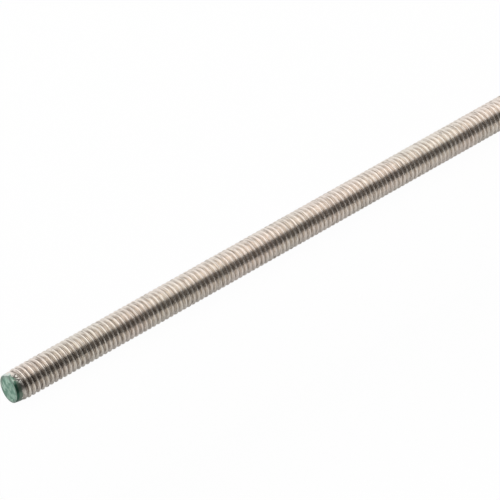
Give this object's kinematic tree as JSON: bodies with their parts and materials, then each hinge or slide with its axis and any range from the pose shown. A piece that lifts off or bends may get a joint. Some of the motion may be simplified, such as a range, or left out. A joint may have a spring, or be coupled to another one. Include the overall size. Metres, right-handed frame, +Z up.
{
  "type": "threaded rod",
  "caption": "Fully threaded steel rod with a right-hand thread, tapered ends and a dab of green paint on one end face.",
  "frame": {"origin": "the middle of the marked end face, on the rod's axis", "axes": "+X along the rod's axis from the marked end to the plain one, +Z up, +Y by the right-hand rule; the rod is round, so Y and Z are alike"},
  "size_m": [0.12, 0.0058, 0.0058],
  "materials": {
    "stainless_steel": "bright rolled stainless steel, with green paint on one end face"
  },
  "bodies": {
    "root": {"threaded_rod": "stainless_steel"}
  },
  "joints": []
}
